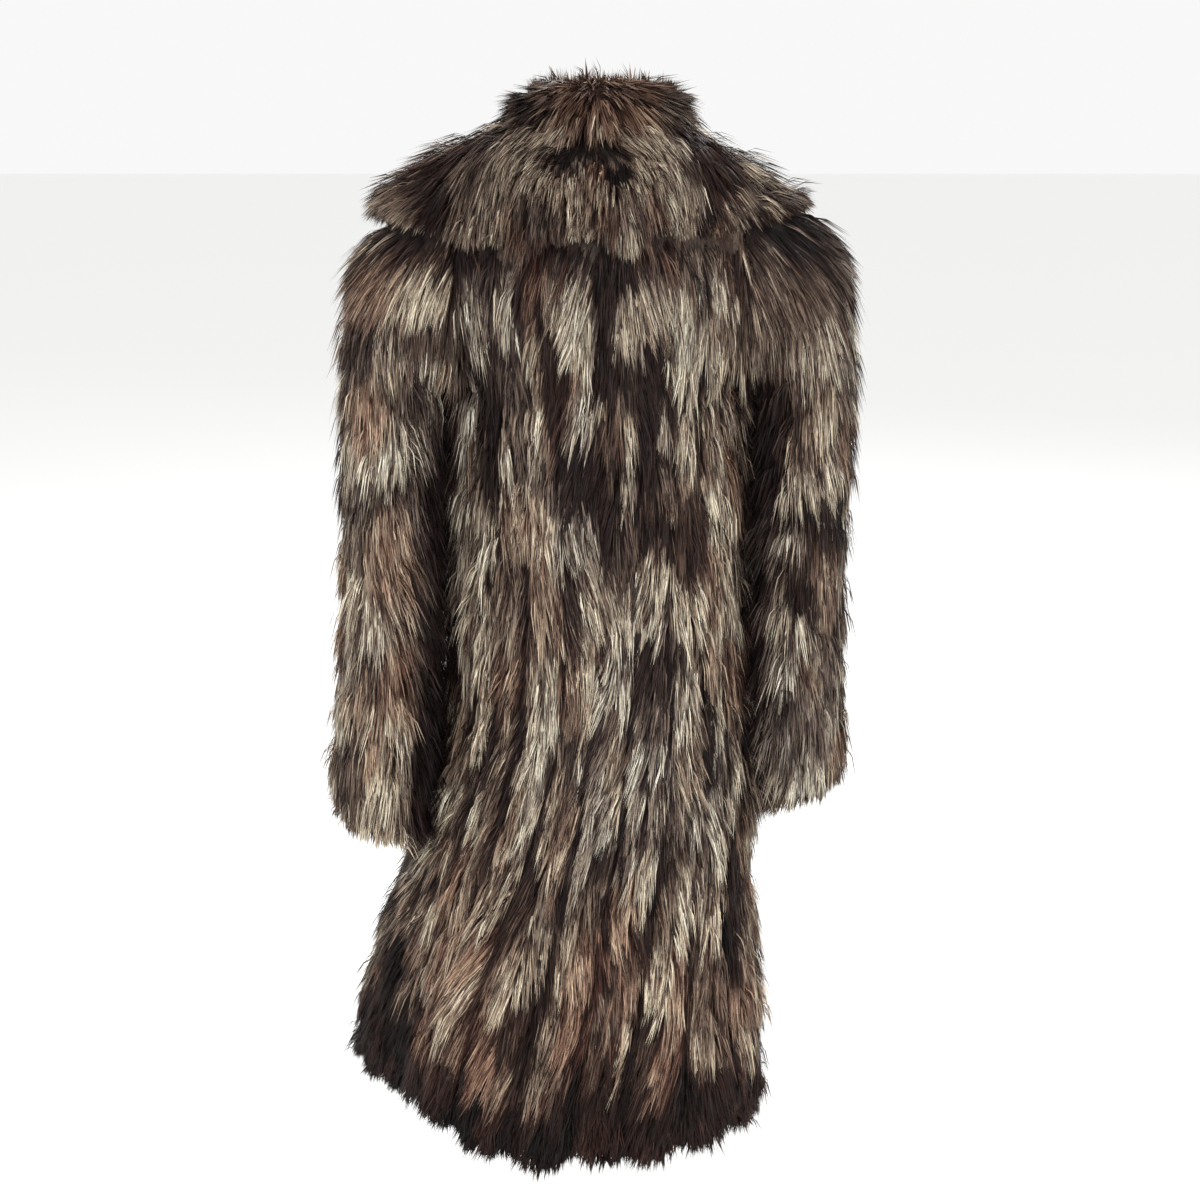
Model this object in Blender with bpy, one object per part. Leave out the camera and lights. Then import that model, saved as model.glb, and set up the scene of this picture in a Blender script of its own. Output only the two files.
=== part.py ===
"""Long fur coat in its worn, hollow form: yokes, back, fronts, sleeves and a folded collar.

Metres, +Z up, front facing -Y, the wearer's left at +X. The origin is where the coat hangs
on the shoulders, at the middle of the neck opening. Each panel is a pelt wall with the depth
of its fur on it: a plain inside and an outside raised into strips and overlapping locks.
"""

import bmesh
import bpy
import numpy as np
from mathutils import Vector
from mathutils.bvhtree import BVHTree

NAME = "fur_coat"

for thing in list(bpy.data.objects):
    bpy.data.objects.remove(thing, do_unlink=True)
COAT = bpy.data.collections.new(NAME)
bpy.context.scene.collection.children.link(COAT)

# Seams
SEAM = 0.00015  # half of the gap left between two sewn edges
LAY = 0.0005  # gap under the collar where it lies on the shoulders
BASE_GAP = 0.0008  # gap where the collar stands on the neckline
CLEAR_STEPS = 7  # points looked at along each side of a face when the collar is laid
CLEAR_ROUNDS = 8
CLEAR_ENOUGH = 0.00005
SEAM_LOOK = 0.0006  # how far aside a look from the pole starts, to see past a seam
LOOK_REACH = 0.5
LOOK_HITS = 12

# Walls: pelt and fur together
FUR_WALL = 0.020
HEM_WALL = 0.015
COVERED_WALL = 0.008  # fur pressed flat under the collar

# Underarm, armhole and shoulder
UNDERARM = -0.235
ARM_PLANE = 0.158  # half of the distance between the two armhole seams
ARM_CENTRE = -0.124
ARM_TALL = 0.111
ARM_DEEP = 0.084
ARM_WALL = 0.018
ARM_PULL_Y = 3.0  # how closely the panel keeps to the armhole's curve near it
ARM_PULL_Z = 6.0
NECK_HALF = 0.072
NECK_TOP = 0.020
NECK_BACK = 0.078
NECK_BACK_TOP = 0.008
BREAK_Z = -0.250  # where the two fronts meet under the lapels
BREAK_Y = -0.139
BACK_ROUND = 2.6  # how square the shoulders turn over, 2 being an ellipse
CHEST_ROUND = 1.9
ROW_CROWD = 0.25  # how much closer the rows are near the shoulder seam
BACK_SWELL = 0.015
CHEST_SWELL = 0.010
FRONT_DROP = 0.065  # how much lower the first skirt row starts at the centre front

# Hem
HEM_Z = -1.100
HEM_COLUMNS = ("azimuth", "height")
HEM = (
    (-180.0, -1.098),
    (-130.0, -1.098),
    (-90.0, -1.105),
    (-62.0, -1.086),
    (-45.0, -1.098),
    (-32.0, -1.108),
    (-18.0, -1.102),
    (-4.0, -1.110),
    (8.0, -1.086),
    (20.0, -1.068),
    (30.0, -1.066),
    (42.0, -1.074),
    (56.0, -1.088),
    (90.0, -1.085),
    (130.0, -1.092),
    (180.0, -1.098),
)
HEM_SCALLOP = 0.016
CUFF_SCALLOP = 0.010

# Strips and locks of the fur
BACK_STRIPS = 12
FRONT_STRIPS = 6
SLEEVE_STRIPS = 8
STRIP_COLUMNS = 3
LOCK_ROWS = 5
UPPER_ROWS = 10
SKIRT_ROWS = 40
SLEEVE_HEAD_ROWS = 10
SLEEVE_ROWS = 28
GROOVE = 0.20  # shares of the wall
LOCK_RISE = 0.42
LOCK_SLANT = 0.45  # how far a lock's tip hangs below its sides, in its own length
LOCK_SWEEP = 1.3  # how late down its length a lock lifts
CALM_FROM = 0.118  # off the centre line, where the locks start to flatten towards the armhole
CALM_OVER = 0.036
CALM_ROWS = 3.0
HEM_FADE = 4.0

# Collar
NECK_SHARE = 1 / 3  # columns of half a back, or of a front, that end on the neckline
BACK_SHARE = 0.30  # part of half the collar that runs along the back neckline
LAPEL_END = 0.93  # how far down the front neckline the lapels reach
COLLAR_STATIONS = 64
FALL_STEPS = (0.14, 0.30, 0.48, 0.66, 0.84, 1.0)
TUFT = 0.002
LEAST_FALL = 0.010
ROLL_HEIGHT = 0.098
LAPEL_ROLL = 0.34  # share of that height left on the lapels
CENTRE_PEAK = 0.16  # how much the roll drops away from the centre back
FALL_WALL = 0.044
EDGE_WALL = 0.020
EDGE_POINT = (1.06, 0.03)  # reach of the edge past its last step, and of every other tuft
BASE_IN = 0.006
RIGHT_SHORTER = 4.0  # degrees by which the right side of the fall is narrower
POLE = (0.0, 0.0, -0.20)  # point inside the shoulders from which the collar is measured

RING_SQUARE = 0.94  # under 1 the rings are a little squarer than an ellipse
BODY_COLUMNS = ("height", "centre_x", "centre_y", "half_width", "back", "front", "swing")
BODY = (
    (-0.235, 0.000, 0.000, 0.1530, 0.130, 0.138, 0.0),
    (-0.320, 0.001, 0.000, 0.1610, 0.128, 0.142, 0.0),
    (-0.430, 0.001, 0.000, 0.1640, 0.122, 0.138, 0.0),
    (-0.520, 0.000, 0.000, 0.1660, 0.124, 0.138, 0.0),
    (-0.620, 0.000, 0.000, 0.1700, 0.136, 0.146, 2.0),
    (-0.720, 0.008, 0.000, 0.1860, 0.154, 0.160, 5.0),
    (-0.820, 0.024, -0.003, 0.2060, 0.172, 0.176, 8.0),
    (-0.920, 0.034, -0.008, 0.2290, 0.188, 0.192, 11.0),
    (-1.020, 0.042, -0.014, 0.2470, 0.203, 0.207, 13.0),
    (-1.130, 0.048, -0.020, 0.2600, 0.217, 0.222, 15.0),
)

# Broad folds of the skirt: azimuth from the centre back towards the wearer's left
FOLD_COLUMNS = ("azimuth", "half_angle", "starts", "depth_at_hem")
FOLDS = (
    (16.0, 20.0, -0.66, 0.020),
    (52.0, 20.0, -0.62, -0.030),
    (92.0, 22.0, -0.70, 0.016),
    (-22.0, 18.0, -0.74, -0.010),
    (-58.0, 20.0, -0.66, 0.014),
    (-104.0, 18.0, -0.72, -0.012),
    (140.0, 20.0, -0.70, -0.014),
    (-146.0, 20.0, -0.70, -0.014),
)

SLEEVE_COLUMNS = ("outer_x", "outer_z", "inner_x", "inner_z", "half_depth")
SLEEVE = (
    (0.1580, -0.013, 0.1580, -0.235, 0.084),
    (0.1900, -0.021, 0.1700, -0.2405, 0.085),
    (0.2180, -0.038, 0.1790, -0.247, 0.086),
    (0.2440, -0.060, 0.1840, -0.253, 0.086),
    (0.2650, -0.094, 0.1850, -0.259, 0.086),
    (0.2780, -0.138, 0.1870, -0.266, 0.086),
    (0.2850, -0.190, 0.1890, -0.278, 0.085),
    (0.2890, -0.250, 0.1905, -0.300, 0.084),
    (0.2900, -0.320, 0.1915, -0.345, 0.082),
    (0.2890, -0.400, 0.1920, -0.415, 0.080),
    (0.2910, -0.500, 0.1930, -0.508, 0.078),
    (0.2950, -0.600, 0.1940, -0.606, 0.076),
    (0.3010, -0.670, 0.1950, -0.690, 0.075),
    (0.3040, -0.718, 0.1960, -0.756, 0.073),
)
SIDES = {
    # lean at the cuff: out, back, down
    "left": (1.0, 0.016, 0.020, 0.012),
    "right": (-1.0, -0.010, -0.024, -0.012),
}

# Roll and stand of the collar: which edge of the neckline, then heights and offsets from it
ROLL_COLUMNS = ("on_outer_edge", "height_share", "out", "inward")
ROLL = (
    (True, 0.72, 0.026, 0.0),
    (True, 1.00, 0.008, 0.0),
    (False, 0.86, 0.0, 0.010),
    (False, 0.40, 0.0, 0.011),
)
# Collar edge: share of the way from the centre back to the lapel end, then azimuth, polar angle
EDGE_COLUMNS = ("share", "azimuth", "polar")
COLLAR_EDGE = (
    (0.00, 0.0, 45.0),
    (0.10, 26.0, 46.0),
    (0.20, 54.0, 51.5),
    (0.30, 80.0, 55.5),
    (0.40, 98.0, 57.5),
    (0.52, 112.0, 59.5),
    (0.64, 126.0, 62.0),
    (0.78, 143.0, 70.0),
    (0.90, 158.0, 87.0),
    (1.00, 171.0, 107.0),
)
# Folds across the collar: azimuth, half angle, rise of its face
COLLAR_FOLDS = (
    (33.0, 9.0, -0.012),
    (14.0, 12.0, 0.005),
    (-30.0, 10.0, -0.006),
    (58.0, 26.0, 0.014),
    (-52.0, 20.0, 0.012),
    (-96.0, 24.0, -0.012),
)


def smooth(value):
    value = np.clip(value, 0.0, 1.0)
    return value * value * (3.0 - 2.0 * value)


def points_of(x, y, z):
    return np.stack(np.broadcast_arrays(x, y, z), axis=-1).astype(float)


def along(table, at, columns=None):
    """Rows of a table blended smoothly by their first column, or by columns given."""
    rows = np.array(table, float)
    keys = rows[:, 0] if columns is None else columns
    if keys[0] > keys[-1]:
        rows, keys = rows[::-1], keys[::-1]
    slopes = np.gradient(rows, keys, axis=0)
    at = np.clip(np.asarray(at, float), keys[0], keys[-1])
    low = np.clip(np.searchsorted(keys, at, side="right") - 1, 0, len(keys) - 2)
    span = keys[low + 1] - keys[low]
    f = ((at - keys[low]) / span)[..., None]
    span = span[..., None]
    return (
        rows[low] * (1 + 2 * f) * (1 - f) ** 2
        + slopes[low] * span * f * (1 - f) ** 2
        + rows[low + 1] * f * f * (3 - 2 * f)
        + slopes[low + 1] * span * f * f * (f - 1)
    )


def ring_point(azimuth, height, inset):
    """Point of the body wall at an azimuth in degrees, drawn in by the inset."""
    row = along(BODY, height)
    centre_x, centre_y, half, back, front, swing = (row[..., k] for k in range(1, 7))
    turn = np.radians(azimuth)
    across = np.sin(turn)
    fore = np.cos(turn)
    depth = np.where(fore > 0, back, front)
    x = (half - inset) * np.sign(across) * np.abs(across) ** RING_SQUARE
    y = (depth - inset) * np.sign(fore) * np.abs(fore) ** RING_SQUARE
    swell = np.zeros_like(x)
    for where, half_angle, starts, deep in FOLDS:
        off = (azimuth - where + 180.0) % 360.0 - 180.0
        rise = smooth((starts - height) / (starts - HEM_Z))
        swell = swell + deep * rise * np.exp(-((off / half_angle) ** 2))
    length = np.hypot(x, y)
    x = x * (1 + swell / length)
    y = y * (1 + swell / length)
    angle = np.radians(swing)
    turned_x = centre_x + x * np.cos(angle) + y * np.sin(angle)
    turned_y = centre_y - x * np.sin(angle) + y * np.cos(angle)
    return points_of(turned_x, turned_y, height)


def armhole(share, side, fore, inset, plane):
    """Point of the armhole seam, 0 at the underarm to 1 at the shoulder tip."""
    turn = np.pi * (share - 0.5)
    tall = ARM_TALL - inset
    deep = ARM_DEEP - inset
    y = fore * deep * np.cos(turn)
    z = ARM_CENTRE + tall * np.sin(turn)
    return points_of(side * plane, y, z)


def neck_edge(share, inset):
    """Back neckline from the wearer's right (-1) to left (1)."""
    turn = share * np.pi / 2
    x = NECK_HALF * np.sin(turn)
    y = (NECK_BACK - 0.5 * inset) * np.cos(turn)
    z = NECK_TOP + (NECK_BACK_TOP - NECK_TOP) * np.cos(turn) - inset
    return points_of(x, y, z)


def lapel_edge(share, inset):
    """Front neckline of the left side, from the neck point (0) to the break (1)."""
    x = NECK_HALF * (1 - share) + 0.0005
    y = (BREAK_Y + inset) * np.sin(share * np.pi / 2) ** 0.6
    z = NECK_TOP - inset * (1 - share) ** 4 + (BREAK_Z - NECK_TOP) * share
    return points_of(x, y, z)


def shoulder_seam(share, inset, plane):
    """Left shoulder seam from the neck point (0) to the shoulder tip (1)."""
    top = ARM_CENTRE + ARM_TALL
    x = NECK_HALF + (plane - NECK_HALF) * share
    z = NECK_TOP + (top - NECK_TOP) * share - inset
    return points_of(x, 0.0, z)


def first_row(azimuth):
    fore = smooth((np.abs(azimuth) - 90.0) / 90.0)
    return UNDERARM - FRONT_DROP * fore


def hem_height(azimuth, strips):
    return along(HEM, azimuth)[..., 1] - HEM_SCALLOP * scallop(strips)


def scallop(strips):
    """1 at the middle of a strip, 0 on the groove between two."""
    return np.sin(np.pi * (strips % 1.0)) ** 0.8


def underarm_row(azimuth, inset, plane):
    """First ring: it runs into the underarm corner of the armhole."""
    base = ring_point(azimuth, first_row(azimuth), inset)
    side = np.sign(azimuth)
    corner = armhole(np.zeros_like(azimuth), side, 1.0, ARM_WALL * (inset > 0), plane)
    near = np.where(np.abs(azimuth) <= 90, np.abs(azimuth) - 60, 120 - np.abs(azimuth)) / 30
    ring_end = ring_point(90.0 * side, first_row(90.0 * side), inset)
    return base + (corner - ring_end) * smooth(near)[..., None]


def is_back(azimuths):
    return np.abs(azimuths).max() <= 90.5


def reach_of(azimuths):
    """0 at a panel's middle line, 1 at its side seam."""
    from_back = np.abs(azimuths) / 90.0
    return from_back if is_back(azimuths) else 2.0 - from_back


def body_grid(azimuths, rows_up, rows_down, inset, plane):
    """Upper patch and skirt of one panel: rows from the top edge down, columns by azimuth."""
    back = is_back(azimuths)
    side = np.where(azimuths < 0, -1.0, 1.0)
    bottom = underarm_row(azimuths, inset, plane)
    reach = reach_of(azimuths)
    seam = shoulder_seam((reach - NECK_SHARE) / (1 - NECK_SHARE), inset, plane)
    if back:
        edge = neck_edge(np.clip(reach / NECK_SHARE, 0, 1), inset)
    else:
        edge = lapel_edge(np.clip(1 - reach / NECK_SHARE, 0, 1), inset)
    top = np.where((reach < NECK_SHARE)[:, None], edge, seam)
    top[:, 0] *= side
    up = np.linspace(1, 0, rows_up + 1)[:, None]
    tall = up * (1 + ROW_CROWD * (1 - up**2))
    rounding = BACK_ROUND if back else CHEST_ROUND
    deep = (1 - tall**rounding) ** (1 / rounding)
    fore = 1.0 if back else -1.0
    shares = np.stack(np.broadcast_arrays(tall, 1 - deep, tall), axis=-1)
    patch = bottom * (1 - shares) + top * shares
    arm_inset = ARM_WALL if inset > 0 else 0.0
    arc = armhole(tall, side, fore, arm_inset, plane)
    low = armhole(np.zeros_like(tall), side, fore, arm_inset, plane)
    high = armhole(np.ones_like(tall), side, fore, arm_inset, plane)
    from_line = arc - (low * (1 - tall[..., None]) + high * tall[..., None])
    patch += from_line * np.stack([0 * reach, reach**ARM_PULL_Y, reach**ARM_PULL_Z], axis=-1)
    swell = np.sin(np.pi * up)
    if back:
        patch[..., 1] += BACK_SWELL * swell * (1 - reach**2)
    else:
        patch[..., 1] -= CHEST_SWELL * swell * 4 * reach * (1 - reach)
    strips = strip_of(azimuths)
    down = np.linspace(0, 1, rows_down + 1)[1:, None]
    heights = first_row(azimuths) * (1 - down) + hem_height(azimuths, strips) * down
    skirt = ring_point(azimuths + 0 * heights, heights, inset)
    ease = smooth(1 - down * rows_down / 2.0)[..., None]
    skirt += ease * (bottom - ring_point(azimuths, first_row(azimuths), inset))
    return np.concatenate([patch, skirt], axis=0)


def strip_of(azimuths):
    return (azimuths + 90.0) / 180.0 * BACK_STRIPS


def covered(points):
    """1 where the collar lies over a point, 0 clear of it."""
    off = points - np.array(POLE)
    azimuth = np.degrees(np.arctan2(off[..., 0], off[..., 1]))
    polar = np.degrees(np.arctan2(np.hypot(off[..., 0], off[..., 1]), off[..., 2]))
    edge = np.interp(np.abs(azimuth), [r[1] for r in COLLAR_EDGE], [r[2] for r in COLLAR_EDGE])
    return smooth((edge - 3.0 - polar) / 8.0)


def lock_relief(strips, rows, phase):
    """Share of the wall added: overlapping locks in strips, with a groove between strips."""
    inside = strips % 1.0
    middle = np.sin(np.pi * inside)
    number = np.floor(strips + 1e-6)
    stagger = (number * 2.0 + phase) % LOCK_ROWS
    step = rows + stagger - LOCK_SLANT * LOCK_ROWS * (middle - 1.0) * 0.5
    part = (step / LOCK_ROWS) % 1.0
    wide = 0.75 + 0.25 * np.sin(number * 2.1 + np.floor(step / LOCK_ROWS) * 1.7)
    lift = LOCK_RISE * (part**LOCK_SWEEP - 0.45) * wide * (0.35 + 0.65 * middle)
    return lift - GROOVE * (1 - middle)


def raise_wall(inner, outer, relief, calm):
    """Outer points moved along the wall's own thickness."""
    lift = 1.0 + relief * calm
    press = COVERED_WALL / FUR_WALL
    under = covered(outer)
    lift = lift * (1 - under) + press * under
    return inner + (outer - inner) * lift[..., None]


def thin_hem(rows, count):
    """Wall share that eases to the hem wall over the last rows."""
    left = (count - rows) / HEM_FADE
    return 1.0 - (1.0 - HEM_WALL / FUR_WALL) * smooth(1 - left)


def zip_border(outer, inner):
    """Triangles between a border and one with half as many points, both closed loops."""
    faces = []
    count = len(inner)
    for k in range(count):
        a, b = inner[k], inner[(k + 1) % count]
        first, middle, last = (outer[(2 * k + j) % (2 * count)] for j in range(3))
        faces += [(a, first, middle), (a, middle, b), (b, middle, last)]
    return faces


def grid_faces(index, closed):
    rows, columns = index.shape
    faces = []
    for i in range(rows - 1):
        for j in range(columns if closed else columns - 1):
            k = (j + 1) % columns
            faces.append((index[i, j], index[i, k], index[i + 1, k], index[i + 1, j]))
    return faces


def border(index):
    top = list(index[0])
    right = list(index[1:, -1])
    bottom = list(index[-1, -2::-1])
    left = list(index[-2:0:-1, 0])
    return top + right + bottom + left


def wall_object(name, outer, inner, closed, colour):
    """Solid between an outer grid and an inner grid of half its resolution."""
    outer_index = np.arange(outer.shape[0] * outer.shape[1]).reshape(outer.shape[:2])
    inner_index = outer_index.size + np.arange(inner.shape[0] * inner.shape[1]).reshape(
        inner.shape[:2]
    )
    points = np.concatenate([outer.reshape(-1, 3), inner.reshape(-1, 3)])
    faces = grid_faces(outer_index, closed) + grid_faces(inner_index, closed)
    if closed:
        faces += zip_border(list(outer_index[0]), list(inner_index[0]))
        faces += zip_border(list(outer_index[-1]), list(inner_index[-1]))
    else:
        faces += zip_border(border(outer_index), border(inner_index))
    return mesh_object(name, points, faces, colour)


def mesh_object(name, points, faces, colour):
    mesh = bpy.data.meshes.new(name)
    mesh.from_pydata([tuple(p) for p in points], [], [tuple(int(v) for v in f) for f in faces])
    body = bmesh.new()
    body.from_mesh(mesh)
    bmesh.ops.triangulate(body, faces=body.faces[:])
    bmesh.ops.recalc_face_normals(body, faces=body.faces[:])
    body.to_mesh(mesh)
    body.free()
    mesh.shade_smooth()
    material = bpy.data.materials.new(name + "_fur")
    material.use_nodes = True
    shader = material.node_tree.nodes["Principled BSDF"]
    shader.inputs["Base Color"].default_value = (*colour, 1.0)
    shader.inputs["Roughness"].default_value = 0.9
    mesh.materials.append(material)
    made = bpy.data.objects.new(name, mesh)
    COAT.objects.link(made)
    return made


def panel(yoke_name, name, azimuths, colour):
    """One body panel as a yoke and a skirt, all its seams drawn back by half a gap."""
    plane = ARM_PLANE - SEAM
    outer = body_grid(azimuths, UPPER_ROWS, SKIRT_ROWS, 0.0, plane)
    inner = body_grid(azimuths, UPPER_ROWS, SKIRT_ROWS, FUR_WALL, plane)
    rows = np.arange(outer.shape[0], dtype=float)[:, None]
    strips = strip_of(azimuths)[None, :]
    relief = lock_relief(strips, rows, 1.0)
    relief = (1 + relief) * thin_hem(rows, UPPER_ROWS + SKIRT_ROWS) - 1
    near_arm = smooth((np.abs(outer[..., 0]) - CALM_FROM) / CALM_OVER)
    near_arm = near_arm * smooth((UPPER_ROWS + CALM_ROWS - rows) / CALM_ROWS)
    outer = raise_wall(inner, outer, relief, 1 - near_arm)
    draw_from_seams(outer, azimuths)
    draw_from_seams(inner, azimuths)
    reach = reach_of(azimuths)
    near = (reach <= NECK_SHARE + 1e-6) & ((azimuths >= 0) | (name != "back"))
    NECKLINE[name] = (reach[near], outer[0, near], inner[0, near])
    outer_yoke, outer_skirt = cut_at_underarm(outer)
    inner_yoke, inner_skirt = cut_at_underarm(inner)
    return [
        wall_object(yoke_name, outer_yoke, inner_yoke[::2, ::2], False, colour),
        wall_object(name, outer_skirt, inner_skirt[::2, ::2], False, colour),
    ]


def cut_at_underarm(grid):
    """The rows above and below the underarm seam, each drawn back by half a gap."""
    yoke, skirt = grid[: UPPER_ROWS + 1].copy(), grid[UPPER_ROWS:].copy()
    for part, end, step in ((yoke, -1, -2), (skirt, 0, 1)):
        inward = part[step] - part[end]
        inward /= np.linalg.norm(inward, axis=-1, keepdims=True)
        part[end] += SEAM * inward
    return yoke, skirt


def draw_from_seams(grid, azimuths):
    """Moves a panel's borders in by half a gap; the armhole's own plane already is."""
    top_in = grid[1] - grid[0]
    top_in /= np.linalg.norm(top_in, axis=-1, keepdims=True)
    below_arm = np.arange(grid.shape[0]) >= UPPER_ROWS
    for column, step in ((0, 1), (-1, -1)):
        inward = grid[:, column + step] - grid[:, column]
        inward /= np.linalg.norm(inward, axis=-1, keepdims=True)
        at_arm = abs(abs(azimuths[column]) - 90.0) < 1.0
        use = below_arm if at_arm else np.ones_like(below_arm)
        grid[:, column] += SEAM * inward * use[:, None]
    grid[0] += SEAM * top_in


def sleeve_grid(side, inset):
    """Rings of a sleeve from the armhole seam, round the shoulder and down to the cuff."""
    sign, out, back, down = SIDES[side]
    count = SLEEVE_HEAD_ROWS + SLEEVE_ROWS
    keys = np.arange(len(SLEEVE), dtype=float)
    head = np.linspace(0, 7, SLEEVE_HEAD_ROWS + 1)
    table = np.array(SLEEVE)
    drop = -np.interp(np.arange(len(SLEEVE)), keys, table[:, 1])
    low = np.linspace(drop[7], drop[-1], SLEEVE_ROWS + 1)[1:]
    at = np.concatenate([head, np.interp(low, drop, keys)])
    rows = along(table, at, keys)
    outer = rows[:, [0, 1]]
    under = rows[:, [2, 3]]
    deep = rows[:, 4]
    lean = np.linspace(0, 1, count + 1) ** 1.3
    columns = SLEEVE_STRIPS * STRIP_COLUMNS
    turn = np.linspace(0, 2 * np.pi, columns, endpoint=False)
    span = outer - under
    length = np.linalg.norm(span, axis=1)
    centre = (outer + under) / 2
    half = length / 2 - inset
    direction = span / length[:, None]
    reach = np.cos(turn)[None, :] * half[:, None]
    x = centre[:, 0, None] + reach * direction[:, 0, None]
    z = centre[:, 1, None] + reach * direction[:, 1, None]
    y = np.sin(turn)[None, :] * (deep - inset)[:, None]
    x = x + out * lean[:, None]
    y = y + back * lean[:, None]
    z = z - down * lean[:, None]
    return points_of(sign * x, y, z)


def sleeve(side, colour):
    sign = SIDES[side][0]
    outer = sleeve_grid(side, 0.0)
    inner = sleeve_grid(side, ARM_WALL)
    count = outer.shape[0] - 1
    rows = np.arange(count + 1, dtype=float)[:, None]
    columns = outer.shape[1]
    strips = (np.arange(columns) / STRIP_COLUMNS)[None, :] + 0 * rows
    relief = lock_relief(strips, rows, 3.0)
    relief = (1 + relief) * thin_hem(rows, count) - 1
    calm = smooth(rows / 3.0) + 0 * strips
    hang = smooth((rows - count + 2) / 2.0) * CUFF_SCALLOP * scallop(strips)
    outer = raise_wall(inner, outer, relief, calm)
    outer[..., 2] -= hang
    inner[..., 2] -= hang
    outer[0, :, 0] = inner[0, :, 0] = sign * (ARM_PLANE + SEAM)
    return wall_object("sleeve_" + side, outer, inner[::2, ::2], True, colour)


def direction(azimuth, polar):
    a, p = np.radians(azimuth), np.radians(polar)
    return np.array([np.sin(a) * np.sin(p), np.cos(a) * np.sin(p), np.cos(p)])


def outermost(tree, way):
    """Distance from the pole to the outside of the coat in one direction, seams bridged."""
    way = Vector(way)
    far = 0.0
    for aside in ((1, 1), (1, -1), (-1, 1), (-1, -1)):
        start = at = Vector(POLE) + Vector((*aside, 0)) * SEAM_LOOK
        for _ in range(LOOK_HITS):
            hit = tree.ray_cast(at, way, LOOK_REACH)[0]
            if hit is None:
                break
            far = max(far, (hit - start).length)
            at = hit + way * CLEAR_ENOUGH / 5
    return far


def joined_tree(pieces):
    points = []
    faces = []
    for piece in pieces:
        first = len(points)
        points += [v.co.copy() for v in piece.data.vertices]
        faces += [[first + v for v in f.vertices] for f in piece.data.polygons]
    return BVHTree.FromPolygons(points, faces)


def clear_of(tree, under):
    """Lifts the underside away from the pole until its faces clear what they lie on."""
    pole = np.array(POLE)
    shares = [(a, b) for a in range(CLEAR_STEPS + 1) for b in range(CLEAR_STEPS + 1 - a)]
    shares = np.array(shares, float) / CLEAR_STEPS
    for _ in range(CLEAR_ROUNDS):
        lift = np.zeros(under.shape[:2])
        for i in range(under.shape[0] - 1):
            for j in range(under.shape[1] - 1):
                here, beyond = (i, j), (i + 1, j + 1)
                for other in ((i, j + 1), (i + 1, j)):
                    corners = [under[here] - pole, under[beyond] - pole, under[other] - pole]
                    worst = 0.0
                    for a, b in shares:
                        off = corners[0] * (1 - a - b) + corners[1] * a + corners[2] * b
                        length = np.linalg.norm(off)
                        worst = max(worst, outermost(tree, off / length) + LAY - length)
                    for corner in (here, beyond, other):
                        lift[corner] = max(lift[corner], worst)
        off = under - pole
        under += off / np.linalg.norm(off, axis=-1, keepdims=True) * lift[..., None]
        if lift.max() < CLEAR_ENOUGH:
            break
    return under


def neck_point(share):
    """Inner and outer point of the sewn neckline, from the centre back (0) to the break (1)."""
    if share < BACK_SHARE:
        reach, outer, inner = NECKLINE["back"]
        at = NECK_SHARE * share / BACK_SHARE
    else:
        reach, outer, inner = NECKLINE["front_left"]
        at = NECK_SHARE * (1 - LAPEL_END * (share - BACK_SHARE) / (1 - BACK_SHARE))
    order = np.argsort(reach)
    coarse = order[::2]
    return (
        np.array([np.interp(at, reach[coarse], inner[coarse, k]) for k in range(3)]),
        np.array([np.interp(at, reach[order], outer[order, k]) for k in range(3)]),
    )


def collar(pieces, colour):
    """Folded collar: it stands on the neckline, rolls over and lies on the shoulders."""
    tree = joined_tree(pieces)
    stations = np.linspace(-1.0, 1.0, COLLAR_STATIONS + 1)
    points = np.array([collar_ring(tree, at, number) for number, at in enumerate(stations)])
    under = slice(1, len(FALL_STEPS) + 3)
    points[:, under] = clear_of(tree, points[:, under])
    pole = np.array(POLE)
    for k in range(len(FALL_STEPS) - 1):
        below = points[:, len(FALL_STEPS) + 1 - k] - pole
        above = points[:, len(FALL_STEPS) + 3 + k] - pole
        high = np.linalg.norm(above, axis=1)
        least = np.linalg.norm(below, axis=1) + LEAST_FALL
        points[:, len(FALL_STEPS) + 3 + k] = pole + above * (np.maximum(high, least) / high)[:, None]
    index = np.arange(points.shape[0] * points.shape[1]).reshape(points.shape[:2])
    faces = []
    for a, b, c, d in grid_faces(index, True):
        faces += [(a, b, c), (a, c, d)]
    faces.append(tuple(index[0]))
    faces.append(tuple(index[-1][::-1]))
    return mesh_object("collar", points.reshape(-1, 3), faces, colour)


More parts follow.
